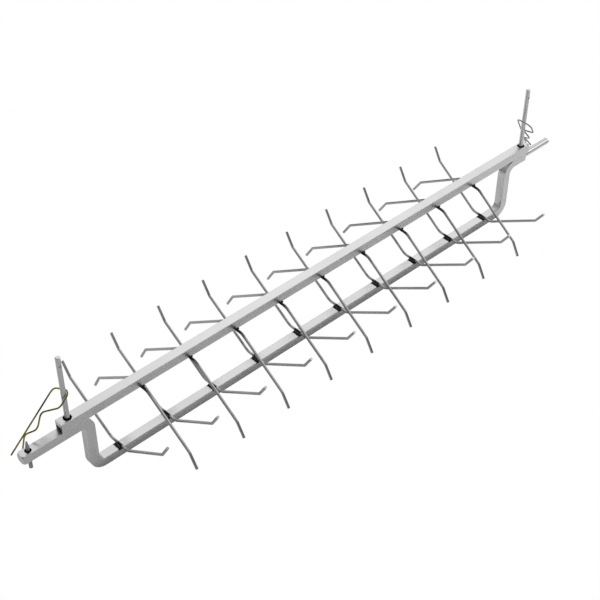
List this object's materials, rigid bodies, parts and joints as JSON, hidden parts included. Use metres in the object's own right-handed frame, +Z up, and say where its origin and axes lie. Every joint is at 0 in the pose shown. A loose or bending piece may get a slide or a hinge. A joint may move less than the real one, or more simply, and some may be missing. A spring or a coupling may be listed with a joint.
{
  "type": "rotisserie cradle spit",
  "caption": "Two-bar rotisserie spit: a cranked square bar with upturned tines and a clamp bar with downturned tines that slides on two guide rods and closes on the roast.",
  "frame": {"origin": "centre of the square drive end's face, on the spin axis", "axes": "+X along the bars from the drive end to the round journal, +Y to the back, +Z up along the guide rods"},
  "size_m": [0.89, 0.206, 0.1909],
  "materials": {
    "bar_steel": "ground stainless square bar, satin",
    "clamp_steel": "ground stainless square bar, satin",
    "journal_steel": "turned and polished",
    "rod_steel": "drawn stainless rod, bright",
    "pin_steel": "plain hardened pin, dull",
    "tine_steel": "drawn stainless wire, bright",
    "weld": "dark weld bead, heat stained",
    "clip_plated": "yellow zinc-plated spring wire",
    "clip_steel": "plain spring wire"
  },
  "bodies": {
    "cradle": {"cranked_bar": "bar_steel", "journal_stub": "journal_steel", "drive_pin": "pin_steel", "guide_rod_drive": "rod_steel", "guide_rod_journal": "rod_steel", "lower_tine_01": "tine_steel", "lower_tine_02": "tine_steel", "lower_tine_03": "tine_steel", "lower_tine_04": "tine_steel", "lower_tine_05": "tine_steel", "lower_tine_06": "tine_steel", "lower_tine_07": "tine_steel", "lower_tine_08": "tine_steel", "lower_tine_09": "tine_steel", "lower_tine_10": "tine_steel", "lower_tine_welds": "weld"},
    "clamp_comb": {"clamp_bar": "clamp_steel", "upper_tine_01": "tine_steel", "upper_tine_02": "tine_steel", "upper_tine_03": "tine_steel", "upper_tine_04": "tine_steel", "upper_tine_05": "tine_steel", "upper_tine_06": "tine_steel", "upper_tine_07": "tine_steel", "upper_tine_08": "tine_steel", "upper_tine_09": "tine_steel", "upper_tine_welds": "weld"},
    "clip_drive": {"hairpin_clip_drive": "clip_plated"},
    "clip_journal": {"hairpin_clip_journal": "clip_steel"}
  },
  "joints": [
    {"name": "clamp_slide", "type": "slide", "parent": "cradle", "child": "clamp_comb", "axis": [0, 0, 1], "range_m": [0, 0.046]},
    {"name": "clip_drive_swivel", "type": "hinge", "parent": "clamp_comb", "child": "clip_drive", "pos_m": [0.0636, 0, 0.052], "axis": [0, 0, 1], "range_deg": [-100, 0]},
    {"name": "clip_journal_swivel", "type": "hinge", "parent": "clamp_comb", "child": "clip_journal", "pos_m": [0.8281, 0, 0.05], "axis": [0, 0, 1], "range_deg": [0, 100]}
  ]
}
